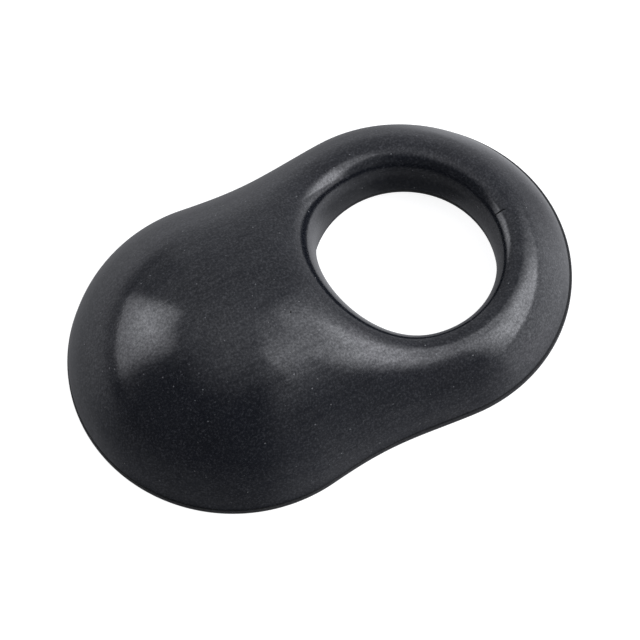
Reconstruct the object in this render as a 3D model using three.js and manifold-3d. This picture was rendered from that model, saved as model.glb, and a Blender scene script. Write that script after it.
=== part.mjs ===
// A hand-held massage ball: a round bulb that flows through a neck into a thick ring for the fingers.
// A soft skin covers a stiff frame, which holds a steel ball under the top of the bulb. A plate and
// a rubber sole close the flat underside. Units are millimetres, +Z is up, the origin is on the
// base at the middle of the length, and +X points from the bulb to the ring.
import * as THREE from "three";
import { mergeVertices } from "three/addons/utils/BufferGeometryUtils.js";
import Module from "manifold-3d";

const wasm = await Module();
wasm.setup();

// Outer shape
const BULB_RADIUS = 32.5; // of the bulb's outline on the base
const BULB_HEIGHT = 26.3;
const BULB_SINK = 1.9; // the bulb's widest level lies this far below the base
const BULB_POWER = 1.94; // 2 would make the bulb's upright section an ellipse
const RING_RADIUS = 32.8; // of the ring's outline on the base
const RING_HEIGHT = 22.9; // of the ring's mound on the hole's axis, if it had no hole
const RING_FALL = 0.22; // the mound loses this much height for each millimetre along +X
const RING_SINK = 2.5;
const RING_POWER = 1.92;
const CENTRE_DISTANCE = 38; // from the bulb's axis to the hole's axis
const NECK_BLEND = 12.7; // reach of the fillet between the bulb and the ring
const HOLE_RADIUS = 17.9; // of the finger hole at the base
const HOLE_DRAFT = 0.14; // the hole narrows by this much for each millimetre of height
const LIP_BLEND = 14; // reach of the rolled lip round the finger hole
const LIP_FALL = 0.15; // the reach shrinks by this much for each millimetre along +X

// Layers, from the outside in and from the base up
const GAP = 0.3; // between pieces that touch
const SKIN_THICKNESS = 2;
const BOND_GAP = 0.4; // between the skin's inside and the frame
const FRAME_WALL = 2;
const SOLE_THICKNESS = 1;
const SOLE_SETBACK = 0.1; // the sole's edge lies this far inside the outline on the base
const PLATE_THICKNESS = 1.6;

// Ball and its socket
const BALL_RADIUS = 10;
const SOCKET_RADIUS = 14.2; // outside of the frame's tube round the ball
const WINDOW_RADIUS = 6; // opening in the frame's top, where the ball backs the skin
const PAD_HEIGHT = 4.2;
const PAD_RADIUS = 9.6;

// Screws
const SHANK_RADIUS = 1.1;
const SHANK_LENGTH = 4.6;
const HEAD_RADIUS = 2;
const HEAD_HEIGHT = 0.8;
const TIP_LENGTH = 1.2;
const RECESS_WIDTH = 0.6; // of each arm of the cross recess
const RECESS_LENGTH = 2.2;
const RECESS_DEPTH = 0.5;
const BOSS_RADIUS = 2.8;
const RIB_WIDTH = 2;
const RING_SCREW_ANGLES = [0, 100, 260]; // degrees about the hole's axis
const BULB_SCREW_ANGLES = [90, 180, 270]; // degrees about the bulb's axis
const RING_RIB_ANGLES = [0, 50, 100, 260, 310];
const BULB_RIB_ANGLES = [90, 135, 180, 225, 270];
const BULB_SCREW_RADIUS = 23;
const BRIDGE_WIDTH = 16; // of the block that ties the ball's socket to the hole's wall

// Places that follow from them
const LENGTH = BULB_RADIUS + CENTRE_DISTANCE + RING_RADIUS;
const BULB_X = BULB_RADIUS - LENGTH / 2;
const HOLE_X = BULB_X + CENTRE_DISTANCE;
const FRAME_INSET = SKIN_THICKNESS + BOND_GAP;
const RING_SCREW_RADIUS = (HOLE_RADIUS + RING_RADIUS) / 2;
const SKIN_FLOOR = SOLE_THICKNESS + GAP;
const PLATE_TOP = SKIN_FLOOR + PLATE_THICKNESS;
const FRAME_FLOOR = PLATE_TOP + GAP;
const BALL_Z = BULB_HEIGHT - FRAME_INSET - BALL_RADIUS;
const TALL = 60; // length of a cutting tool that passes right through

// Mesh density
const SECTIONS = 56;
const OUTER_STEPS = 24;
const INNER_STEPS = 14;
const SPACING_WARP = 0.45; // draws the sections closer together across the bulb
const ROUND_SIDES = 24;

const { clamp, degToRad, lerp } = THREE.MathUtils;

// ---- Outer shape as a field: negative inside, zero on the surface ----

function smoothMin(a, b, reach) {
  const share = clamp(0.5 + (b - a) / (2 * reach), 0, 1);
  return lerp(b, a, share) - reach * share * (1 - share);
}

function smoothMax(a, b, reach) {
  return -smoothMin(-a, -b, reach);
}

// 1 on the surface of a mound whose outline on the base is where the plan ratio is 1.
function moundGauge(planRatio, z, height, sink, power) {
  const full = height + sink;
  const baseShare = (1 - (sink / full) ** power) ** (1 / power);
  return ((planRatio * baseShare) ** power + ((z + sink) / full) ** power) ** (1 / power);
}

function bodyField(x, y, z) {
  const level = Math.max(z, 0);
  const bulbRatio = Math.hypot(x - BULB_X, y) / BULB_RADIUS;
  const bulb = (moundGauge(bulbRatio, level, BULB_HEIGHT, BULB_SINK, BULB_POWER) - 1) * BULB_HEIGHT;
  const fromHole = Math.hypot(x - HOLE_X, y);
  const ringHeight = RING_HEIGHT - RING_FALL * (x - HOLE_X);
  const ringRatio = fromHole / RING_RADIUS;
  const ring = (moundGauge(ringRatio, level, ringHeight, RING_SINK, RING_POWER) - 1) * ringHeight;
  const hole = HOLE_RADIUS - HOLE_DRAFT * level - fromHole;
  const lip = LIP_BLEND - LIP_FALL * (x - HOLE_X);
  return smoothMax(smoothMin(bulb, ring, NECK_BLEND), hole, lip);
}

// Distance below the outer surface, in millimetres, found from the field and its slope.
function depthBelow(x, y, z) {
  const h = 0.05;
  const value = bodyField(x, y, z);
  const slope = Math.hypot(
    bodyField(x + h, y, z) - bodyField(x - h, y, z),
    bodyField(x, y + h, z) - bodyField(x, y - h, z),
    bodyField(x, y, z + h) - bodyField(x, y, z - h),
  );
  return (-value * 2 * h) / slope;
}

// ---- Sections: upright half-planes through the hole's axis ----

function sectionAngle(index) {
  const turn = (2 * Math.PI * index) / SECTIONS;
  return turn + SPACING_WARP * Math.sin(turn);
}

function sectionPoint(angle, radius, z) {
  return new THREE.Vector3(HOLE_X + radius * Math.cos(angle), radius * Math.sin(angle), z);
}

// The last distance along a ray at which it is still inside.
function reachOf(isInside) {
  const stride = 1;
  let low = 0;
  while (isInside(low + stride)) low += stride;
  let high = low + stride;
  for (let halving = 0; halving < 24; halving++) {
    const middle = (low + high) / 2;
    if (isInside(middle)) low = middle;
    else high = middle;
  }
  return low;
}

function insideAt(angle, inset) {
  const cosine = Math.cos(angle);
  const sine = Math.sin(angle);
  return (radius, z) => depthBelow(HOLE_X + radius * cosine, radius * sine, z) > inset;
}

// Where a section of the layer at this inset meets a level: its inner and outer radius.
function sectionSpan(angle, inset, level) {
  const inside = insideAt(angle, inset);
  const middle = RING_SCREW_RADIUS;
  return {
    inner: middle - reachOf((step) => inside(middle - step, level)),
    outer: middle + reachOf((step) => inside(middle + step, level)),
  };
}

// A section's line from the hole's side of the floor, over the crest, to the outer side of the floor.
function sectionProfile(angle, inset, floor, steps) {
  const inside = insideAt(angle, inset);
  const { inner, outer } = sectionSpan(angle, inset, floor);
  const eye = new THREE.Vector2(lerp(inner, outer, 0.45), floor + 2);
  const first = Math.atan2(floor - eye.y, inner - eye.x) + 2 * Math.PI;
  const last = Math.atan2(floor - eye.y, outer - eye.x);
  const rays = 3 * steps;
  const points = [new THREE.Vector2(inner, floor)];
  for (let ray = 1; ray < rays; ray++) {
    const tilt = lerp(first, last, ray / rays);
    const along = new THREE.Vector2(Math.cos(tilt), Math.sin(tilt));
    const reach = reachOf((step) => inside(eye.x + step * along.x, eye.y + step * along.y));
    points.push(along.multiplyScalar(reach).add(eye));
  }
  points.push(new THREE.Vector2(outer, floor));
  const line = new THREE.SplineCurve(points);
  line.arcLengthDivisions = 4 * rays;
  return line.getSpacedPoints(steps);
}

// Joins closed section loops, one per angle, into one closed body round the hole.
function loopedGeometry(loops) {
  const perLoop = loops[0].length;
  const corner = (section, step) => (section % loops.length) * perLoop + (step % perLoop);
  const index = [];
  for (let section = 0; section < loops.length; section++) {
    for (let step = 0; step < perLoop; step++) {
      const here = corner(section, step);
      const onward = corner(section, step + 1);
      const beside = corner(section + 1, step);
      const across = corner(section + 1, step + 1);
      index.push(here, onward, beside, onward, across, beside);
    }
  }
  const geometry = new THREE.BufferGeometry().setFromPoints(loops.flat());
  geometry.setIndex(index);
  return geometry;
}

function loopsOf(makeLoop) {
  return Array.from({ length: SECTIONS }, (_, index) => {
    const angle = sectionAngle(index);
    return makeLoop(angle).map((point) => sectionPoint(angle, point.x, point.y));
  });
}

// Everything deeper than the inset and above the floor.
function layerGeometry(inset, floor) {
  const makeLoop = (angle) => sectionProfile(angle, inset, floor, INNER_STEPS);
  return loopedGeometry(loopsOf(makeLoop));
}

// A flat plate with the body's outline. Its edges lie within the layer at every outline level.
function plateGeometry(inset, outlineLevels, bottom, top) {
  const makeLoop = (angle) => {
    const spans = outlineLevels.map((level) => sectionSpan(angle, inset, level));
    const inner = Math.max(...spans.map((span) => span.inner));
    const outer = Math.min(...spans.map((span) => span.outer));
    return [
      new THREE.Vector2(inner, bottom),
      new THREE.Vector2(inner, top),
      new THREE.Vector2(outer, top),
      new THREE.Vector2(outer, bottom),
    ];
  };
  return loopedGeometry(loopsOf(makeLoop));
}

// ---- Joining and cutting ----

function solidOf(geometry) {
  const bare = new THREE.BufferGeometry();
  bare.setAttribute("position", geometry.getAttribute("position"));
  bare.setIndex(geometry.index);
  const merged = mergeVertices(bare, 1e-4);
  const mesh = new wasm.Mesh({
    numProp: 3,
    vertProperties: merged.getAttribute("position").array,
    triVerts: new Uint32Array(merged.index.array),
  });
  return new wasm.Manifold(mesh);
}

function geometryOf(solid) {
  const mesh = solid.getMesh();
  const geometry = new THREE.BufferGeometry();
  geometry.setAttribute("position", new THREE.BufferAttribute(mesh.vertProperties, 3));
  geometry.setIndex(new THREE.BufferAttribute(mesh.triVerts, 1));
  return geometry;
}

function joined(solids) {
  return solids.reduce((whole, next) => whole.add(next));
}

function uprightRod(x, y, radius, bottom, top) {
  const rod = new THREE.CylinderGeometry(radius, radius, top - bottom, ROUND_SIDES);
  return solidOf(rod.rotateX(Math.PI / 2).translate(x, y, (bottom + top) / 2));
}

function around(axisX, radius, degrees) {
  const angle = degToRad(degrees);
  return { x: axisX + radius * Math.cos(angle), y: radius * Math.sin(angle) };
}

function screwPlaces() {
  const ring = RING_SCREW_ANGLES.map((degrees) => around(HOLE_X, RING_SCREW_RADIUS, degrees));
  const bulb = BULB_SCREW_ANGLES.map((degrees) => around(BULB_X, BULB_SCREW_RADIUS, degrees));
  return [...ring, ...bulb];
}

function drilled(solid, radius, bottom, top) {
  const holes = screwPlaces().map(({ x, y }) => uprightRod(x, y, radius, bottom, top));
  return solid.subtract(joined(holes));
}

// ---- Pieces ----

function gripSkin() {
  const makeLoop = (angle) => [
    ...sectionProfile(angle, 0, SKIN_FLOOR, OUTER_STEPS),
    ...sectionProfile(angle, SKIN_THICKNESS, SKIN_FLOOR, INNER_STEPS).reverse(),
  ];
  return loopedGeometry(loopsOf(makeLoop));
}

// A rib that runs outwards from an axis, cut short by the frame's walls.
function radialRib(axisX, degrees) {
  const rib = new THREE.BoxGeometry(BULB_RADIUS, RIB_WIDTH, TALL);
  rib.translate(BULB_RADIUS / 2, 0, TALL / 2);
  return solidOf(rib.rotateZ(degToRad(degrees)).translate(axisX, 0, 0));
}

function coreFrame() {
  const blank = solidOf(layerGeometry(FRAME_INSET, FRAME_FLOOR));
  const hollow = solidOf(layerGeometry(FRAME_INSET + FRAME_WALL, FRAME_FLOOR - GAP));
  const bosses = screwPlaces().map(({ x, y }) => uprightRod(x, y, BOSS_RADIUS, 0, TALL));
  const ribs = [
    ...RING_RIB_ANGLES.map((degrees) => radialRib(HOLE_X, degrees)),
    ...BULB_RIB_ANGLES.map((degrees) => radialRib(BULB_X, degrees)),
  ];
  const socket = uprightRod(BULB_X, 0, SOCKET_RADIUS, 0, TALL);
  const bridge = new THREE.BoxGeometry(CENTRE_DISTANCE - HOLE_RADIUS, BRIDGE_WIDTH, TALL);
  bridge.translate(BULB_X + (CENTRE_DISTANCE - HOLE_RADIUS) / 2, 0, TALL / 2);
  const pockets = hollow.subtract(joined([socket, solidOf(bridge), ...bosses, ...ribs]));
  const ballRoom = new THREE.SphereGeometry(BALL_RADIUS + GAP, ROUND_SIDES, ROUND_SIDES / 2);
  const ballWay = joined([
    solidOf(ballRoom.rotateX(Math.PI / 2).translate(BULB_X, 0, BALL_Z)),
    uprightRod(BULB_X, 0, BALL_RADIUS + GAP, 0, BALL_Z),
    uprightRod(BULB_X, 0, WINDOW_RADIUS, BALL_Z, TALL),
  ]);
  const open = blank.subtract(pockets).subtract(ballWay);
  return geometryOf(drilled(open, SHANK_RADIUS + GAP, 0, SKIN_FLOOR + HEAD_HEIGHT + SHANK_LENGTH + GAP));
}

function pressureBall() {
  return new THREE.SphereGeometry(BALL_RADIUS, ROUND_SIDES, ROUND_SIDES / 2);
}

// A round pad with a hollow top, in which the ball sits.
function ballPad() {
  const seatRadius = BALL_RADIUS + GAP;
  const ballHeight = BALL_Z - FRAME_FLOOR;
  const rimRadius = Math.sqrt(seatRadius ** 2 - (ballHeight - PAD_HEIGHT) ** 2);
  const seatSteps = 8;
  const profile = [new THREE.Vector2(0, 0), new THREE.Vector2(PAD_RADIUS, 0)];
  profile.push(new THREE.Vector2(PAD_RADIUS, PAD_HEIGHT));
  for (let step = 0; step <= seatSteps; step++) {
    const radius = rimRadius * (1 - step / seatSteps);
    profile.push(new THREE.Vector2(radius, ballHeight - Math.sqrt(seatRadius ** 2 - radius ** 2)));
  }
  return new THREE.LatheGeometry(profile, ROUND_SIDES).rotateX(Math.PI / 2);
}

function basePlate() {
  const blank = solidOf(plateGeometry(FRAME_INSET, [SKIN_FLOOR, PLATE_TOP], SKIN_FLOOR, PLATE_TOP));
  const counterbored = drilled(blank, HEAD_RADIUS + GAP, 0, SKIN_FLOOR + HEAD_HEIGHT + GAP);
  return geometryOf(drilled(counterbored, SHANK_RADIUS + GAP, 0, TALL));
}

function sole() {
  const blank = solidOf(plateGeometry(SOLE_SETBACK, [0], 0, SOLE_THICKNESS));
  return geometryOf(drilled(blank, HEAD_RADIUS + 2 * GAP, -GAP, TALL));
}

// A pan-head screw that stands head down, with its head's face on z = 0.
function screw() {
  const neckZ = HEAD_HEIGHT;
  const profile = [
    [0, 0],
    [HEAD_RADIUS - 0.4, 0],
    [HEAD_RADIUS, 0.4],
    [HEAD_RADIUS, neckZ],
    [SHANK_RADIUS, neckZ],
    [SHANK_RADIUS, neckZ + SHANK_LENGTH - TIP_LENGTH],
    [0, neckZ + SHANK_LENGTH],
  ].map(([radius, z]) => new THREE.Vector2(radius, z));
  const blank = solidOf(new THREE.LatheGeometry(profile, ROUND_SIDES / 2).rotateX(Math.PI / 2));
  const arm = new THREE.BoxGeometry(RECESS_LENGTH, RECESS_WIDTH, 2 * RECESS_DEPTH);
  const cross = solidOf(arm.clone()).add(solidOf(arm.rotateZ(Math.PI / 2)));
  return geometryOf(blank.subtract(cross));
}

// ---- Assembly ----

const SILICONE = { color: 0x2b2e34, roughness: 0.42, metalness: 0 };
const RUBBER = { color: 0x1d1f22, roughness: 0.8, metalness: 0 };
const NYLON = { color: 0x3c4046, roughness: 0.6, metalness: 0 };
const PLATE_PLASTIC = { color: 0x26282c, roughness: 0.55, metalness: 0 };
const STEEL = { color: 0xb8bcc0, roughness: 0.25, metalness: 1 };
const PAD_FOAM = { color: 0x8a8d90, roughness: 0.9, metalness: 0 };

const massageBall = new THREE.Group();

function place(name, geometry, finish, x = 0, y = 0, z = 0) {
  const mesh = new THREE.Mesh(geometry, new THREE.MeshStandardMaterial(finish));
  mesh.name = name;
  mesh.position.set(x, y, z);
  massageBall.add(mesh);
}

place("grip_skin", gripSkin(), SILICONE);
place("core_frame", coreFrame(), NYLON);
place("pressure_ball", pressureBall(), STEEL, BULB_X, 0, BALL_Z);
place("ball_pad", ballPad(), PAD_FOAM, BULB_X, 0, FRAME_FLOOR);
place("base_plate", basePlate(), PLATE_PLASTIC);
place("sole", sole(), RUBBER);
screwPlaces().forEach(({ x, y }, index) => {
  place(`screw_${index + 1}`, screw(), STEEL, x, y, SKIN_FLOOR);
});

export default massageBall;
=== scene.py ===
"""A hand-held massage ball: a round bulb that flows into a thick ring for the fingers, in one dark
silicone skin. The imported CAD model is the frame. Fine surfaces stand for the skin, the sole, the
screws, the steel ball and its pad, and the other CAD pieces keep their shape and get materials.
Shapes are worked out in millimetres, in the CAD model's frame, and made in metres."""

import math

import bmesh
import bpy
import numpy as np
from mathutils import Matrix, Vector
from mathutils.geometry import delaunay_2d_cdt


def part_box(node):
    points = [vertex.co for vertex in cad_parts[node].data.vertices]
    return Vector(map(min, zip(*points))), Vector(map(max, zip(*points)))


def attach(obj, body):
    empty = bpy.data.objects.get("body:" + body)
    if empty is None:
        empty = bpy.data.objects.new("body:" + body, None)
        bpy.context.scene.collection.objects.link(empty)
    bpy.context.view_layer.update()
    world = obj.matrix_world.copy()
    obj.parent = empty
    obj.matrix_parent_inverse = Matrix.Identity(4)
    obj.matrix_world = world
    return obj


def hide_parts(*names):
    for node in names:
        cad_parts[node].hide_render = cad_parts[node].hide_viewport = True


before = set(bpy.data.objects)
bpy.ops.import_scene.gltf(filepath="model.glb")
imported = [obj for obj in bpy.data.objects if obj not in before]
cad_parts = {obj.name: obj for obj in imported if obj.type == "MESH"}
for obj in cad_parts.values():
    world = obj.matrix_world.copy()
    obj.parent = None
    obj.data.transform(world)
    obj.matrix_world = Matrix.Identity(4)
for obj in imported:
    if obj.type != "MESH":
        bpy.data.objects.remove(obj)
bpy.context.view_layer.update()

MM = 0.001
BODY = "root"


def box_mm(node):
    """A CAD node's lowest and highest corner, in millimetres."""
    low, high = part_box(node)
    return np.array(low) / MM, np.array(high) / MM


# ---- Sizes in millimetres: places come from the frame ----

skin_low, skin_high = box_mm("grip_skin")
sole_low, sole_high = box_mm("sole")
ball_low, ball_high = box_mm("pressure_ball")
pad_low, pad_high = box_mm("ball_pad")
screw_names = sorted(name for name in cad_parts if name.startswith("screw_"))

BULB_X, _, BALL_Z = (ball_low + ball_high) / 2
BALL_RADIUS = (ball_high[0] - ball_low[0]) / 2
BULB_RADIUS = 32.5
BULB_HEIGHT = skin_high[2]
BULB_SINK = 1.9
BULB_POWER = 1.94
RING_RADIUS = 32.8
RING_HEIGHT = 22.9
RING_FALL = 0.22  # how much lower the ring gets for each mm along +X
RING_SINK = 2.5
RING_POWER = 1.92
CENTRE_DISTANCE = 38.0
HOLE_X = BULB_X + CENTRE_DISTANCE
NECK_BLEND = 12.7
HOLE_RADIUS = 17.9  # at the base
HOLE_DRAFT = 0.14  # how much the hole's radius shrinks for each mm upwards
LIP_BLEND = 14.0
LIP_FALL = 0.15  # how much less the lip reaches for each mm along +X
SKIN_THICKNESS = 2.0
SKIN_FLOOR = skin_low[2]
SOLE_TOP = sole_high[2]
GAP = 0.3
SEED_RADIUS = (HOLE_RADIUS + RING_RADIUS) / 2  # always inside the ring's wall

LIP_REACH = 21.0  # the skin turns duller from here to the hole's wall, measured from its axis
WALL_REACH = 18.0
NICK = ((37.5, -1.5), (40.4, -1.65), 0.3)  # a fine cut across the lip, painted dark as painted shade: start, end and width
PIT = (-10.2, -6.7, 0.22)  # a tiny hollow by the bulb's top, painted dark as painted shade: place and radius
SKIN_EDGE = 0.45  # rounding of the skin's two lower edges
SOLE_EDGE = 0.2
PAD_EDGE = 0.4

# How finely the meshes follow the shapes
SECTIONS = 360
SPACING_WARP = 0.45  # brings the sections closer together on the bulb's side of the hole
OUTER_STEPS = 150
INNER_STEPS = 40
EDGE_STEPS = 5
SEAT_STEPS = 16
ROUND_SIDES = 64
EYE_SHARE = 0.45  # where rays start in a section: this share of its width, and this far up
EYE_RISE = 2.0
STRIDE = 1.0  # a ray is walked in strides, then its last stride is halved again and again
HALVINGS = 22
SLOPE_REACH = 0.05  # how far to each side of a point the field's slope is measured


# ---- The outer shape as a field: negative inside, zero on the surface ----


def smooth_min(a, b, reach):
    share = np.clip(0.5 + (b - a) / (2 * reach), 0, 1)
    return b + (a - b) * share - reach * share * (1 - share)


def smooth_max(a, b, reach):
    return -smooth_min(-a, -b, reach)


def mound_gauge(plan_ratio, z, height, sink, power):
    """1 on the surface of a mound whose outline on the base is where the plan ratio is 1."""
    full = height + sink
    base_share = (1 - (sink / full) ** power) ** (1 / power)
    return ((plan_ratio * base_share) ** power + ((z + sink) / full) ** power) ** (1 / power)


def body_field(x, y, z):
    """Two mounds with a soft neck between them, less a tapering hole with a wide round lip."""
    level = np.maximum(z, 0)
    bulb_ratio = np.hypot(x - BULB_X, y) / BULB_RADIUS
    bulb = (mound_gauge(bulb_ratio, level, BULB_HEIGHT, BULB_SINK, BULB_POWER) - 1) * BULB_HEIGHT
    from_hole = np.hypot(x - HOLE_X, y)
    ring_height = RING_HEIGHT - RING_FALL * (x - HOLE_X)
    ring_gauge = mound_gauge(from_hole / RING_RADIUS, level, ring_height, RING_SINK, RING_POWER)
    hole = HOLE_RADIUS - HOLE_DRAFT * level - from_hole
    lip = LIP_BLEND - LIP_FALL * (x - HOLE_X)
    solid = smooth_min(bulb, (ring_gauge - 1) * ring_height, NECK_BLEND)
    return smooth_max(solid, hole, lip)


def depth_below(x, y, z):
    """Distance below the outer surface, found from the field and its slope."""
    h = SLOPE_REACH
    slope = np.sqrt(
        (body_field(x + h, y, z) - body_field(x - h, y, z)) ** 2
        + (body_field(x, y + h, z) - body_field(x, y - h, z)) ** 2
        + (body_field(x, y, z + h) - body_field(x, y, z - h)) ** 2
    )
    return -body_field(x, y, z) * 2 * h / slope


# ---- Sections: upright half-planes through the hole's axis ----

turns = 2 * np.pi * np.arange(SECTIONS) / SECTIONS
ANGLES = turns + SPACING_WARP * np.sin(turns)


def inside_at(angle, inset):
    def inside(radius, z):
        x = HOLE_X + radius * np.cos(angle)
        y = radius * np.sin(angle)
        if inset == 0:
            return body_field(x, y, z) < 0
        return depth_below(x, y, z) > inset

    return inside


def reach_of(is_inside, shape):
    """The last distance along each ray at which it is still inside."""
    low = np.zeros(shape)
    going = np.ones(shape, bool)
    while going.any():
        going &= is_inside(low + STRIDE)
        low = np.where(going, low + STRIDE, low)
    high = low + STRIDE
    for _ in range(HALVINGS):
        middle = (low + high) / 2
        within = is_inside(middle)
        low = np.where(within, middle, low)
        high = np.where(within, high, middle)
    return low


def section_span(inset, level):
    """Where each section of the layer at this inset meets a level: inner and outer radii."""
    inside = inside_at(ANGLES, inset)
    inner = SEED_RADIUS - reach_of(lambda s: inside(SEED_RADIUS - s, level), ANGLES.shape)
    outer = SEED_RADIUS + reach_of(lambda s: inside(SEED_RADIUS + s, level), ANGLES.shape)
    return inner, outer


def resampled(lines, steps, margin):
    """Each polyline's points spaced evenly by length, leaving a margin at both ends."""
    gaps = np.linalg.norm(np.diff(lines, axis=1), axis=2)
    along = np.concatenate([np.zeros((len(lines), 1)), np.cumsum(gaps, axis=1)], axis=1)
    even = []
    for line, lengths in zip(lines, along):
        wanted = np.linspace(margin, lengths[-1] - margin, steps)
        even.append(np.stack([np.interp(wanted, lengths, line[:, k]) for k in (0, 1)], axis=1))
    return np.array(even)


def section_lines(inset, floor, steps, margin=0.0):
    """For each section, (radius, height) points from the floor at the hole over the crest to the
    floor at the rim."""
    inner, outer = section_span(inset, floor)
    eye_radius = inner + EYE_SHARE * (outer - inner)
    eye_height = floor + EYE_RISE
    first = np.arctan2(floor - eye_height, inner - eye_radius) + 2 * np.pi
    last = np.arctan2(floor - eye_height, outer - eye_radius)
    share = np.linspace(0, 1, 3 * steps)[None, 1:-1]
    tilt = first[:, None] + (last - first)[:, None] * share
    inside = inside_at(ANGLES[:, None], inset)

    def on_ray(step):
        return inside(eye_radius[:, None] + step * np.cos(tilt), eye_height + step * np.sin(tilt))

    reach = reach_of(on_ray, tilt.shape)
    radius = eye_radius[:, None] + reach * np.cos(tilt)
    height = eye_height + reach * np.sin(tilt)
    radius = np.concatenate([inner[:, None], radius, outer[:, None]], axis=1)
    height = np.pad(height, ((0, 0), (1, 1)), constant_values=floor)
    return resampled(np.stack([radius, height], axis=2), steps, margin)


def placed(lines):
    """Section points (radius, height) as points in space."""
    radius = lines[..., 0]
    x = HOLE_X + radius * np.cos(ANGLES)[:, None]
    y = radius * np.sin(ANGLES)[:, None]
    return np.stack([x, y, lines[..., 1]], axis=2)


# ---- Mesh making ----


def piece(name, vertices, faces, material, slot, *replaced, smooth=True):
    """A new mesh piece, from points in millimetres, that stands for CAD nodes."""
    mesh = bpy.data.meshes.new(name)
    mesh.from_pydata((np.asarray(vertices) * MM).tolist(), [], [list(map(int, f)) for f in faces])
    mesh.validate()
    shape = bmesh.new()
    shape.from_mesh(mesh)
    bmesh.ops.recalc_face_normals(shape, faces=shape.faces)
    shape.to_mesh(mesh)
    shape.free()
    mesh.polygons.foreach_set("use_smooth", [smooth] * len(mesh.polygons))
    mesh.materials.append(material)
    made = bpy.data.objects.new(name, mesh)
    bpy.context.scene.collection.objects.link(made)
    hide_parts(*replaced)
    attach(made, BODY)
    return made


def looped_faces(rings, per_ring):
    """Quads that join closed rings of points in a closed round."""
    ring, step = np.meshgrid(np.arange(rings), np.arange(per_ring), indexing="ij")

    def corner(r, s):
        return ((r % rings) * per_ring + s % per_ring).ravel()

    here = [corner(ring, step), corner(ring + 1, step)]
    ahead = [corner(ring + 1, step + 1), corner(ring, step + 1)]
    return np.stack(here + ahead, axis=1)


def side_faces(start, rings, count):
    """Quads between closed rings of points that lie one after another from the start."""
    faces = []
    for ring in range(rings - 1):
        low = start + ring * count
        for k in range(count):
            after = (k + 1) % count
            faces.append([low + k, low + after, low + count + after, low + count + k])
    return faces


def turned_faces(rings, sides):
    """Faces of a closed solid whose points are its two ends and then its rings."""
    last = 2 + (rings - 1) * sides
    faces = side_faces(2, rings, sides)
    for k in range(sides):
        after = (k + 1) % sides
        faces.append([0, 2 + after, 2 + k])
        faces.append([1, last + k, last + after])
    return faces


def rounded_corner(start, corner, end, steps):
    """Points of a curve from start to end that the corner pulls outwards, both ends left out."""
    share = np.linspace(0, 1, steps + 2)[1:-1]
    points = [(1 - t) ** 2 * start + 2 * t * (1 - t) * corner + t * t * end for t in share]
    return np.stack(points, axis=1)


# ---- The skin ----


def skin_loops():
    """Closed section loops of the skin, with its two lower edges rounded."""
    outer = section_lines(0, SKIN_FLOOR, OUTER_STEPS, margin=SKIN_EDGE)
    inner = section_lines(SKIN_THICKNESS, SKIN_FLOOR, INNER_STEPS)[:, ::-1]
    hole_radius, rim_radius = section_span(0, SKIN_FLOOR)
    floor = np.full(SECTIONS, SKIN_FLOOR)
    hole_corner = np.stack([hole_radius, floor], axis=1)
    rim_corner = np.stack([rim_radius, floor], axis=1)
    inward = np.array([SKIN_EDGE, 0])
    rim_edge = rounded_corner(outer[:, -1], rim_corner, rim_corner - inward, EDGE_STEPS)
    hole_edge = rounded_corner(hole_corner + inward, hole_corner, outer[:, 0], EDGE_STEPS)
    rim_floor = (rim_corner - inward)[:, None]
    hole_floor = (hole_corner + inward)[:, None]
    return np.concatenate([outer, rim_edge, rim_floor, inner, hole_floor, hole_edge], axis=1)


def make_skin(material):
    points = placed(skin_loops())
    faces = looped_faces(SECTIONS, points.shape[1])
    vertices = points.reshape(-1, 3)
    piece("silicone_skin", vertices, faces, material, "skin_silicone", "grip_skin")


# ---- The sole ----


def circle(centre, radius, sides):
    turn = 2 * np.pi * np.arange(sides) / sides
    return np.stack([centre[0] + radius * np.cos(turn), centre[1] + radius * np.sin(turn)], axis=1)


def outward_normals(loop):
    """Unit normals of a closed loop in the plane, to the right of its direction of travel."""
    along = np.roll(loop, -1, axis=0) - np.roll(loop, 1, axis=0)
    normal = np.stack([along[:, 1], -along[:, 0]], axis=1)
    return normal / np.linalg.norm(normal, axis=1)[:, None]


def edge_section(bottom, top, rounding, steps):
    """(inset, height) points from the bottom face round the edge to the top face."""
    turn = np.linspace(0, np.pi / 2, steps)
    insets = rounding * (1 - np.sin(turn))
    rise = rounding * (1 - np.cos(turn))
    lower = np.stack([insets, bottom + rise], axis=1)
    upper = np.stack([lower[::-1, 0], top + bottom - lower[::-1, 1]], axis=1)
    return np.concatenate([lower, upper])


def filled(loops):
    """Triangles that fill the first loop less the others. The loops' points keep their order."""
    points = [Vector(p) for loop in loops for p in loop]
    edges = []
    start = 0
    for loop in loops:
        count = len(loop)
        edges += [(start + k, start + (k + 1) % count) for k in range(count)]
        start += count
    _, _, faces, origins, _, _ = delaunay_2d_cdt(points, edges, [], 0, 1e-6)
    source = [first[0] for first in origins]
    flat = np.array([p for loop in loops for p in loop])
    triangles = []
    for face in faces:
        corners = [source[k] for k in face]
        middle = flat[corners].mean(axis=0)
        if holds(loops[0], middle) and not any(holds(hole, middle) for hole in loops[1:]):
            triangles.append(corners)
    return triangles


def holds(loop, point):
    """True if the point lies inside the closed loop."""
    after = np.roll(loop, -1, axis=0)
    spans = (loop[:, 1] > point[1]) != (after[:, 1] > point[1])
    rise = np.where(spans, after[:, 1] - loop[:, 1], 1)
    cut = loop[:, 0] + (point[1] - loop[:, 1]) / rise * (after[:, 0] - loop[:, 0])
    return bool(np.count_nonzero(spans & (cut > point[0])) % 2)


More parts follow.
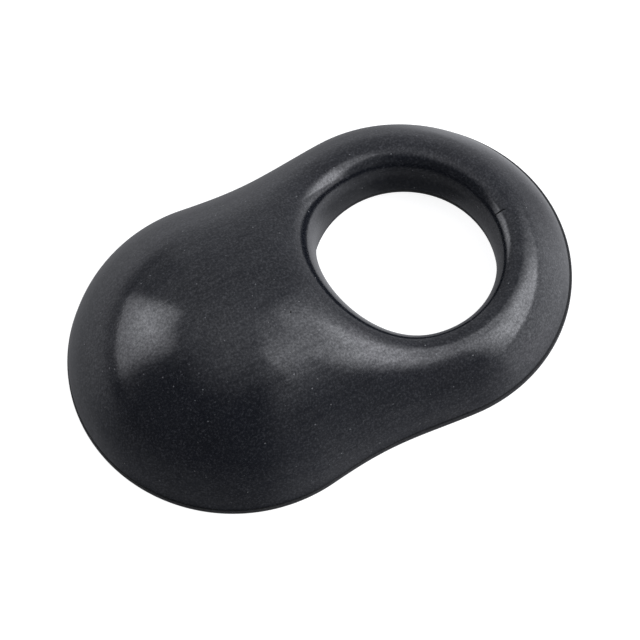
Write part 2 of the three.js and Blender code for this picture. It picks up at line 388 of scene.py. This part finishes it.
def plate_mesh(outline, holes, bottom, top, rounding):
    """A flat plate with round edges: its outline runs anticlockwise and its holes clockwise."""
    section = edge_section(bottom, top, rounding, EDGE_STEPS)
    vertices = []
    faces = []
    flat_loops = []
    bottom_points = []
    top_points = []
    for loop in (outline, *holes):
        normal = outward_normals(loop)
        start = len(vertices)
        count = len(loop)
        for inset, height in section:
            vertices += [(x, y, height) for x, y in loop - normal * inset]
        faces += side_faces(start, len(section), count)
        flat_loops.append(loop - normal * section[0][0])
        bottom_points += range(start, start + count)
        top_points += range(len(vertices) - count, len(vertices))
    triangles = filled(flat_loops)
    for points in (bottom_points, top_points):
        faces += [[points[k] for k in triangle] for triangle in triangles]
    return vertices, faces


def screw_centres():
    return [(low + high)[:2] / 2 for low, high in map(box_mm, screw_names)]


def screw_head_radius():
    low, high = box_mm(screw_names[0])
    return (high[1] - low[1]) / 2


def make_sole(material):
    inner, outer = section_span(0, 0.0)
    floor_line = np.zeros(SECTIONS)
    outline = placed(np.stack([outer, floor_line], axis=1)[:, None])[:, 0, :2]
    finger = placed(np.stack([inner, floor_line], axis=1)[:, None])[::-1, 0, :2]
    clearance = screw_head_radius() + 2 * GAP
    holes = [circle(centre, clearance, ROUND_SIDES)[::-1] for centre in screw_centres()]
    vertices, faces = plate_mesh(outline, [finger, *holes], sole_low[2], SOLE_TOP, SOLE_EDGE)
    piece("rubber_sole", vertices, faces, material, "sole_rubber", "sole", smooth=False)


# ---- Turned pieces ----


def lathe_mesh(profile, centre, sides):
    """A closed solid turned about an upright axis; the profile starts and ends on the axis."""
    rings = profile[1:-1]
    turn = 2 * np.pi * np.arange(sides) / sides
    vertices = [(centre[0], centre[1], profile[0][1]), (centre[0], centre[1], profile[-1][1])]
    for radius, z in rings:
        x = centre[0] + radius * np.cos(turn)
        y = centre[1] + radius * np.sin(turn)
        vertices += list(zip(x, y, np.full(sides, z)))
    return vertices, turned_faces(len(rings), sides)


def make_ball(material):
    tilt = np.linspace(-np.pi / 2, np.pi / 2, ROUND_SIDES // 2)
    profile = np.stack([BALL_RADIUS * np.cos(tilt), BALL_Z + BALL_RADIUS * np.sin(tilt)], axis=1)
    vertices, faces = lathe_mesh(profile, (BULB_X, 0), ROUND_SIDES)
    piece("steel_ball", vertices, faces, material, "ball_steel", "pressure_ball")


def make_pad(material):
    """The pad under the ball: a round block with rounded edges and a hollow seat."""
    bottom, top = pad_low[2], pad_high[2]
    radius = (pad_high[0] - pad_low[0]) / 2
    seat = BALL_RADIUS + GAP
    rim = math.sqrt(seat ** 2 - (BALL_Z - top) ** 2)
    side = []
    for inset, z in edge_section(bottom, top, PAD_EDGE, EDGE_STEPS):
        if z < top - PAD_EDGE / 2 or radius - inset > rim:
            side.append((radius - inset, z))
    hollow = [(r, BALL_Z - math.sqrt(seat ** 2 - r ** 2)) for r in np.linspace(rim, 0, SEAT_STEPS)]
    vertices, faces = lathe_mesh([(0, bottom), *side, *hollow], (BULB_X, 0), ROUND_SIDES)
    piece("seat_pad", vertices, faces, material, "pad_rubber", "ball_pad")


# ---- Screws ----


def cross_profile(length, width, sides):
    """Distance from the middle of a cross-shaped outline to its edge, all the way round."""
    turn = 2 * np.pi * np.arange(sides) / sides
    arm = np.minimum(np.abs(np.cos(turn)), np.abs(np.sin(turn)))
    along = np.maximum(np.abs(np.cos(turn)), np.abs(np.sin(turn)))
    sideways = width / 2 / np.maximum(arm, 1e-6)
    endways = length / 2 / along
    return np.minimum(sideways, endways)


def screw_mesh(centre, bottom, top, head_radius):
    """A self-tapping screw that stands head down, with a cross recess and a real thread."""
    sides = ROUND_SIDES
    head_height = 0.8
    head_edge = 0.4
    core_radius = 0.85
    crest_radius = 1.15
    pitch = 0.9
    steps_per_turn = 8
    run_in = 0.6
    tip_height = 1.2
    recess_length = 2.2
    recess_width = 0.62
    recess_depth = 0.5
    recess_foot = 0.06
    recess_mouth = 0.05
    mouth_share = 1.04
    collar = 0.15
    turn = 2 * np.pi * np.arange(sides) / sides
    cross = cross_profile(recess_length, recess_width, sides)
    rings = []

    def ring(radius, z):
        rings.append((np.broadcast_to(radius, (sides,)), np.broadcast_to(z, (sides,))))

    # The recess from its floor to its mouth, and a round line just outside it
    ring(0.35 * cross, bottom + recess_depth)
    ring(0.9 * cross, bottom + recess_depth - recess_foot)
    ring(cross, bottom + recess_mouth)
    ring(mouth_share * cross, bottom)
    ring(recess_length / 2 + 0.1, bottom)
    # The head's rounded edge and its upper face
    for tilt in np.linspace(0, np.pi / 2, EDGE_STEPS):
        inset = head_edge * (1 - np.sin(tilt))
        ring(head_radius - inset, bottom + head_edge * (1 - np.cos(tilt)))
    ring(head_radius, bottom + head_height)
    ring(core_radius + collar, bottom + head_height)
    # The shank: its thread runs in by the head and fades out towards the tip
    for z in np.arange(bottom + head_height + 0.1, top - 0.02, pitch / steps_per_turn):
        taper = np.clip((top - z) / tip_height, 0, 1)
        fade = np.clip((z - bottom - head_height) / run_in, 0, 1) * taper
        phase = np.mod((z - bottom) / pitch - turn / (2 * np.pi), 1)
        ridge = np.clip(1 - np.abs(phase - 0.5) * 4, 0, 1)
        ring(core_radius * taper ** 0.6 + (crest_radius - core_radius) * ridge * fade, z)
    vertices = [(centre[0], centre[1], bottom + recess_depth), (centre[0], centre[1], top)]
    for radius, z in rings:
        x = centre[0] + radius * np.cos(turn)
        y = centre[1] + radius * np.sin(turn)
        vertices += list(zip(x, y, z))
    return vertices, turned_faces(len(rings), sides)


def make_screws(material):
    for name in screw_names:
        low, high = box_mm(name)
        centre = (low + high)[:2] / 2
        vertices, faces = screw_mesh(centre, low[2], high[2], (high[1] - low[1]) / 2)
        made = piece(f"steel_{name}", vertices, faces, material, "screw_steel", name)
        made.data.set_sharp_from_angle(angle=math.radians(40))


# ---- Materials ----


def set_range(node, *ends):
    for label, number in zip(("From Min", "From Max", "To Min", "To Max"), ends):
        node.inputs[label].default_value = number


class Finish:
    """A node material with one Principled shader, and short ways to add its nodes."""

    def __init__(self, name, **settings):
        self.material = bpy.data.materials.new(name)
        self.material.use_nodes = True
        self.tree = self.material.node_tree
        self.shader = self.tree.nodes["Principled BSDF"]
        for label, value in settings.items():
            self.shader.inputs[label.replace("_", " ")].default_value = value
        self.place = self.node("ShaderNodeTexCoord").outputs["Object"]

    def node(self, kind, **settings):
        made = self.tree.nodes.new(kind)
        for label, value in settings.items():
            setattr(made, label, value)
        return made

    def link(self, output, target):
        self.tree.links.new(output, target)

    def stretched(self, x, y, z):
        """Places with each axis scaled, for marks that are longer one way."""
        mapping = self.node("ShaderNodeMapping")
        mapping.inputs["Scale"].default_value = (x, y, z)
        self.link(self.place, mapping.inputs["Vector"])
        return mapping.outputs["Vector"]

    def vector(self, operation, a, b=None):
        made = self.node("ShaderNodeVectorMath", operation=operation)
        for socket, value in zip(made.inputs, (a, b)):
            if isinstance(value, (tuple, Vector)):
                socket.default_value = value
            elif value is not None:
                self.link(value, socket)
        return made.outputs["Value" if operation in ("LENGTH", "DOT_PRODUCT") else "Vector"]

    def offset(self, x, y):
        """Places as seen from an upright axis at (x, y) millimetres."""
        return self.vector("SUBTRACT", self.place, (x * MM, y * MM, 0))

    def reach(self, x, y):
        """Distance, in metres, from an upright axis at (x, y) millimetres."""
        return self.vector("LENGTH", self.vector("MULTIPLY", self.offset(x, y), (1, 1, 0)))

    def round_hole(self, share):
        """Places as (distance from the hole's axis, share of x, height), for marks that run round
        the hole, and that distance."""
        reach = self.reach(HOLE_X, 0)
        split = self.node("ShaderNodeSeparateXYZ")
        self.link(self.place, split.inputs["Vector"])
        joined = self.node("ShaderNodeCombineXYZ")
        self.link(reach, joined.inputs["X"])
        self.link(self.math("MULTIPLY", split.outputs["X"], share), joined.inputs["Y"])
        self.link(split.outputs["Z"], joined.inputs["Z"])
        return joined.outputs["Vector"], reach

    def hairline(self, start, end, width):
        """1 on a fine, slightly wavering line between two (x, y) places. All in millimetres."""
        run = Vector((*end, 0)) - Vector((*start, 0))
        ahead = run.normalized()
        aside = Vector((-ahead.y, ahead.x, 0))
        sway = 0.12 * MM
        fade = 0.4
        offset = self.offset(*start)
        along = self.vector("DOT_PRODUCT", offset, ahead)
        waver = self.varied(self.noise(0.9), -sway, sway)
        across = self.math("ADD", self.vector("DOT_PRODUCT", offset, aside), waver)
        thin = self.ranged(self.math("ABSOLUTE", across, 0), width * MM / 2, width * MM / 5, 0, 1)
        begun = self.ranged(along, 0, fade * MM, 0, 1)
        left = self.ranged(along, (run.length - fade) * MM, run.length * MM, 1, 0)
        return self.math("MULTIPLY", thin, self.math("MULTIPLY", begun, left))

    def pit(self, x, y, radius):
        """1 in a small round mark at (x, y). All in millimetres."""
        return self.ranged(self.reach(x, y), radius * MM, radius * MM / 2, 0, 1)

    def noise(self, size_mm, detail=2.0, rough=0.5, where=None):
        """Noise from 0 to 1 whose features are about size_mm across."""
        made = self.node("ShaderNodeTexNoise")
        made.inputs["Scale"].default_value = 1 / (size_mm * MM)
        made.inputs["Detail"].default_value = detail
        made.inputs["Roughness"].default_value = rough
        self.link(where or self.place, made.inputs["Vector"])
        return made.outputs["Fac"]

    def spots(self, spacing_mm, radius_share, share):
        """1 inside small round spots, one in some of the cells of a grid of random points."""
        cells = self.node("ShaderNodeTexVoronoi", feature="F1")
        cells.inputs["Scale"].default_value = 1 / (spacing_mm * MM)
        self.link(self.place, cells.inputs["Vector"])
        near = self.ranged(cells.outputs["Distance"], radius_share, radius_share * 0.5, 0, 1)
        split = self.node("ShaderNodeSeparateColor")
        self.link(cells.outputs["Color"], split.inputs["Color"])
        chosen = self.math("LESS_THAN", split.outputs["Red"], share)
        return self.math("MULTIPLY", near, chosen)

    def ranged(self, value, low, high, new_low, new_high):
        made = self.node("ShaderNodeMapRange")
        self.link(value, made.inputs["Value"])
        set_range(made, low, high, new_low, new_high)
        return made.outputs["Result"]

    def varied(self, noise, low, high):
        """Brings the middle range of a noise, where most of it lies, to low to high."""
        return self.ranged(noise, 0.3, 0.7, low, high)

    def math(self, operation, a, b):
        made = self.node("ShaderNodeMath", operation=operation)
        for socket, value in zip(made.inputs, (a, b)):
            if isinstance(value, (int, float)):
                socket.default_value = value
            else:
                self.link(value, socket)
        return made.outputs["Value"]

    def mixed(self, share, a, b):
        """Colour a where the share is 0 and b where it is 1."""
        made = self.node("ShaderNodeMix", data_type="RGBA")
        sockets = (made.inputs["Factor"], made.inputs[6], made.inputs[7])
        for socket, value in zip(sockets, (share, a, b)):
            if isinstance(value, tuple):
                socket.default_value = (*value, 1)
            else:
                self.link(value, socket)
        return made.outputs[2]

    def bump(self, height, distance_mm, strength, below=None):
        made = self.node("ShaderNodeBump")
        made.inputs["Strength"].default_value = strength
        made.inputs["Distance"].default_value = distance_mm * MM
        self.link(height, made.inputs["Height"])
        if below is not None:
            self.link(below, made.inputs["Normal"])
        return made.outputs["Normal"]

    def set(self, label, output):
        self.link(output, self.shader.inputs[label])


def silicone():
    """Charcoal silicone: nearly black and satin, with a fine grain, faint streaks and dust.
    The streaks run along the body, and round the finger hole on its wall, which is duller."""
    finish = Finish("charcoal_silicone")
    mottle = finish.ranged(finish.noise(9, detail=4), 0.35, 0.65, 0, 1)
    ground = finish.mixed(mottle, (0.0036, 0.0044, 0.0069), (0.0052, 0.0062, 0.0092))
    grain = finish.noise(0.42, detail=2, rough=0.6)
    speckle = finish.ranged(grain, 0.5, 0.75, 0, 1)
    speckled = finish.mixed(speckle, ground, (0.02, 0.0215, 0.026))
    flecked = finish.mixed(finish.spots(1.3, 0.11, 0.45), speckled, (0.045, 0.047, 0.052))
    dust = finish.spots(2.0, 0.085, 0.6)
    dusted = finish.mixed(dust, flecked, (0.11, 0.112, 0.118))
    # Painted shade: the cut and the pit are made nearly black, and their reflection is turned down
    # to a tenth below
    marks = finish.math("MAXIMUM", finish.hairline(*NICK), finish.pit(*PIT))
    finish.set("Base Color", finish.mixed(marks, dusted, (0.001, 0.001, 0.0012)))
    ringed, reach = finish.round_hole(0.12)
    wall = finish.ranged(reach, LIP_REACH * MM, WALL_REACH * MM, 0, 1)
    lengthwise = finish.noise(0.9, detail=3, where=finish.stretched(0.12, 1, 1))
    streaks = finish.mixed(wall, lengthwise, finish.noise(0.7, detail=3, where=ringed))
    streaked = finish.varied(streaks, 0.85, 1.15)
    grained = finish.varied(grain, 0.32, 0.68)
    # 1 off the cut and the pit and 0.1 on them: it dims their reflection as painted shade, and
    # sinks them in the bump
    clear_of_painted_shade = finish.ranged(marks, 0, 1, 1, 0.1)
    shine = finish.math("MULTIPLY", grained, streaked)
    finish.set("Specular IOR Level", finish.math("MULTIPLY", shine, clear_of_painted_shade))
    dusty = finish.math("MULTIPLY", dust, 0.3)
    walled = finish.math("MULTIPLY", wall, 0.14)
    roughness = finish.varied(streaks, 0.08, 0.13)
    finish.set("Roughness", finish.math("ADD", roughness, finish.math("ADD", dusty, walled)))
    waves = finish.bump(finish.noise(5, detail=2), 0.06, 0.25)
    sunk = finish.bump(clear_of_painted_shade, 0.1, 0.6, below=waves)
    ripples = finish.bump(streaks, 0.03, 0.45, below=sunk)
    finish.set("Normal", finish.bump(grain, 0.015, 0.3, below=ripples))
    return finish.material


def rubber_sole():
    finish = Finish("matt_black_rubber")
    grain = finish.noise(0.45, detail=3)
    mottle = finish.noise(7, detail=4)
    finish.set("Base Color", finish.mixed(mottle, (0.008, 0.0085, 0.0095), (0.018, 0.0185, 0.02)))
    finish.set("Roughness", finish.varied(grain, 0.62, 0.82))
    finish.set("Normal", finish.bump(grain, 0.08, 0.5))
    return finish.material


def nylon():
    finish = Finish("glass_filled_nylon")
    fibres = finish.noise(0.5, detail=4, where=finish.stretched(1, 4, 4))
    finish.set("Base Color", finish.mixed(fibres, (0.03, 0.034, 0.04), (0.065, 0.07, 0.077)))
    finish.set("Roughness", finish.varied(fibres, 0.45, 0.65))
    finish.set("Normal", finish.bump(fibres, 0.05, 0.35))
    return finish.material


def plate_plastic():
    finish = Finish("moulded_plate_plastic")
    texture = finish.noise(0.3, detail=2)
    mottle = finish.noise(6)
    finish.set("Base Color", finish.mixed(mottle, (0.014, 0.015, 0.018), (0.024, 0.025, 0.028)))
    finish.set("Roughness", finish.varied(texture, 0.4, 0.55))
    finish.set("Normal", finish.bump(texture, 0.04, 0.4))
    return finish.material


def pad_rubber():
    finish = Finish("grey_elastomer")
    grain = finish.noise(0.6, detail=3)
    finish.set("Base Color", finish.mixed(grain, (0.2, 0.21, 0.22), (0.3, 0.31, 0.32)))
    finish.set("Roughness", finish.varied(grain, 0.75, 0.9))
    finish.set("Normal", finish.bump(grain, 0.06, 0.4))
    return finish.material


def steel(name, low, high, streak_mm):
    finish = Finish(name, Metallic=1.0)
    streaks = finish.noise(streak_mm, detail=3, where=finish.stretched(1, 1, 8))
    finish.set("Base Color", finish.mixed(finish.noise(3), (0.5, 0.51, 0.53), (0.62, 0.63, 0.64)))
    finish.set("Roughness", finish.varied(streaks, low, high))
    finish.set("Normal", finish.bump(streaks, 0.01, 0.3))
    return finish.material


def repaint(node, material):
    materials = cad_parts[node].data.materials
    materials.clear()
    materials.append(material)


# ---- Stage: camera, light and floor. Distances are in metres, lens and sensor in mm. ----

VIEW_AZIMUTH = -28.74
VIEW_ELEVATION = 64.85
VIEW_DISTANCE = 0.7
VIEW_FOCAL = 201.4
VIEW_AIM = Vector((-0.00055, -0.00061, 0))
SENSOR = 36.0

# The light tent: each entry is a strength, then azimuths and elevations in degrees. Both run from
# a start to an end, each followed by half the width of its fade. Azimuth 0 is away from the camera
# and 90 is to its right. A negative strength takes light away.
ALL_ROUND = (-200, 5, 200, 5)
ALL_HEIGHTS = (-120, 5, 120, 5)
TENT_COLOUR = (0.965, 0.977, 1.03)
TENT = (
    (0.05, ALL_ROUND, ALL_HEIGHTS),  # faint light from all round
    (0.08, ALL_ROUND, (-50, 12, 120, 5)),  # the room, except far below
    (0.80, ALL_ROUND, (66, 22, 120, 5)),  # ceiling
    (0.52, (-96, 20, 118, 4), (-24, 24, 66, 22)),  # walls
    (0.14, (-110, 15, 130, 15), (-120, 5, -38, 14)),  # floor between the walls
    (0.40, (6, 8, 60, 20), (-62, 10, -24, 10)),  # its lit part behind
    (0.09, ALL_ROUND, (-45, 10, -5, 12)),  # light off the table's edge
    (1.35, (-94, 7, -54, 3), (11, 1.5, 52, 5)),  # light through the left wall
    (2.10, (-83, 12, -59, 8), (22, 12, 45, 9)),  # its bright middle
    (-0.15, (-104, 6, -30, 8), (0, 3, 10, 2)),  # shade under it
    (-0.20, (-53, 3, -28, 6), (4, 4, 30, 6)),  # shade beside it
    (1.82, (48, 14, 118, 8), (12, 3, 69, 8)),  # light through the right wall
    (2.90, (62, 9, 107, 8), (14, 3, 47, 10)),  # its bright middle
    (0.97, (50, 14, 118, 18), (-34, 24, 11, 3)),  # lit sheet at the foot of the right wall
    (0.24, (115, 8, 155, 15), (-45, 15, 44, 10)),  # dim light past its front edge
    (0.45, (114, 8, 140, 14), (36, 12, 68, 12)),  # dim light above that
)


def direction(azimuth, elevation):
    """From the object towards a place: azimuth 0 is away from the camera and 90 is to its right."""
    heading = math.radians(VIEW_AZIMUTH) - math.radians(azimuth)
    tilt = math.radians(elevation)
    level = Vector((-math.sin(heading), math.cos(heading), 0))
    return level * math.cos(tilt) + Vector((0, 0, math.sin(tilt)))


def make_camera():
    camera = bpy.data.objects.new("camera", bpy.data.cameras.new("camera"))
    bpy.context.scene.collection.objects.link(camera)
    bpy.context.scene.camera = camera
    camera.data.sensor_width = SENSOR
    camera.data.lens = VIEW_FOCAL
    back = direction(180, VIEW_ELEVATION)
    camera.location = VIEW_AIM + back * VIEW_DISTANCE
    camera.rotation_euler = (-back).to_track_quat("-Z", "Y").to_euler()
    camera.data.clip_start = 0.01
    camera.data.clip_end = 50


class Sky:
    """Adds up the light that comes from each direction, as nodes of the world."""

    def __init__(self, tree):
        self.tree = tree
        self.place = tree.nodes.new("ShaderNodeTexCoord").outputs["Generated"]
        right = self.along(90, 0)
        away = self.along(0, 0)
        up = self.along(0, 90)
        turn = self.maths("ARCTAN2", right, away)
        tilt = self.maths("ARCSINE", up)
        self.azimuth = self.maths("DEGREES", turn)
        self.elevation = self.maths("DEGREES", tilt)

    def along(self, azimuth, elevation):
        """The cosine of the angle to a direction."""
        dot = self.tree.nodes.new("ShaderNodeVectorMath")
        dot.operation = "DOT_PRODUCT"
        self.tree.links.new(self.place, dot.inputs[0])
        dot.inputs[1].default_value = direction(azimuth, elevation)
        return dot.outputs["Value"]

    def maths(self, operation, *values):
        made = self.tree.nodes.new("ShaderNodeMath")
        made.operation = operation
        for socket, value in zip(made.inputs, values):
            self.tree.links.new(value, socket)
        return made.outputs["Value"]

    def eased(self, angle, middle, fade, low, high):
        """Low before the middle angle and high after it, with a smooth step two fades wide."""
        span = self.tree.nodes.new("ShaderNodeMapRange")
        span.interpolation_type = "SMOOTHSTEP"
        self.tree.links.new(angle, span.inputs["Value"])
        set_range(span, middle - fade, middle + fade, low, high)
        return span.outputs["Result"]

    def between(self, angle, start, start_fade, end, end_fade):
        rise = self.eased(angle, start, start_fade, 0, 1)
        fall = self.eased(angle, end, end_fade, 1, 0)
        return self.maths("MULTIPLY", rise, fall)

    def patch(self, strength, across, upwards):
        rise = self.eased(self.azimuth, *across[:2], 0, strength)
        fall = self.eased(self.azimuth, *across[2:], 1, 0)
        height = self.between(self.elevation, *upwards)
        return self.maths("MULTIPLY", self.maths("MULTIPLY", rise, fall), height)


def make_world():
    """A white light tent that is open towards the camera. Its left and right walls are lit from
    outside, which leaves a soft bright patch on each. The camera sees a white backdrop."""
    world = bpy.data.worlds.new("light_tent")
    bpy.context.scene.world = world
    world.use_nodes = True
    tree = world.node_tree
    sky = Sky(tree)
    whole = sky.patch(*TENT[0])
    for entry in TENT[1:]:
        whole = sky.maths("ADD", whole, sky.patch(*entry))
    lit = tree.nodes["Background"]
    lit.inputs["Color"].default_value = (*TENT_COLOUR, 1)
    tree.links.new(whole, lit.inputs["Strength"])
    white = tree.nodes.new("ShaderNodeBackground")
    white.inputs["Color"].default_value = (1, 1, 1, 1)
    rays = tree.nodes.new("ShaderNodeLightPath")
    mix = tree.nodes.new("ShaderNodeMixShader")
    tree.links.new(rays.outputs["Is Camera Ray"], mix.inputs["Fac"])
    tree.links.new(lit.outputs["Background"], mix.inputs[1])
    tree.links.new(white.outputs["Background"], mix.inputs[2])
    tree.links.new(mix.outputs["Shader"], tree.nodes["World Output"].inputs["Surface"])


def make_floor():
    """A pale sheet that gives off light, so that it looks nearly white even beside the object. The
    object's gloss doesn't show it."""
    half = 3.0
    drop = 0.0001  # keeps it clear of the sole's underside
    corners = [(-half, -half, 0), (half, -half, 0), (half, half, 0), (-half, half, 0)]
    mesh = bpy.data.meshes.new("floor")
    mesh.from_pydata(corners, [], [(0, 1, 2, 3)])
    finish = Finish("pale_floor", Roughness=0.9)
    finish.shader.inputs["Base Color"].default_value = (0.4, 0.4, 0.4, 1)
    finish.shader.inputs["Emission Color"].default_value = (1, 1, 1, 1)
    finish.shader.inputs["Emission Strength"].default_value = 0.85
    mesh.materials.append(finish.material)
    floor = bpy.data.objects.new("floor", mesh)
    bpy.context.scene.collection.objects.link(floor)
    floor.location.z = -drop
    floor.visible_glossy = False


# ---- The whole ----

make_camera()
make_world()
make_floor()
bpy.context.scene.view_settings.view_transform = "Standard"

make_skin(silicone())
make_sole(rubber_sole())
make_ball(steel("polished_steel", 0.08, 0.16, 1.2))
make_pad(pad_rubber())
make_screws(steel("screw_steel", 0.22, 0.38, 0.4))
repaint("core_frame", nylon())
repaint("base_plate", plate_plastic())
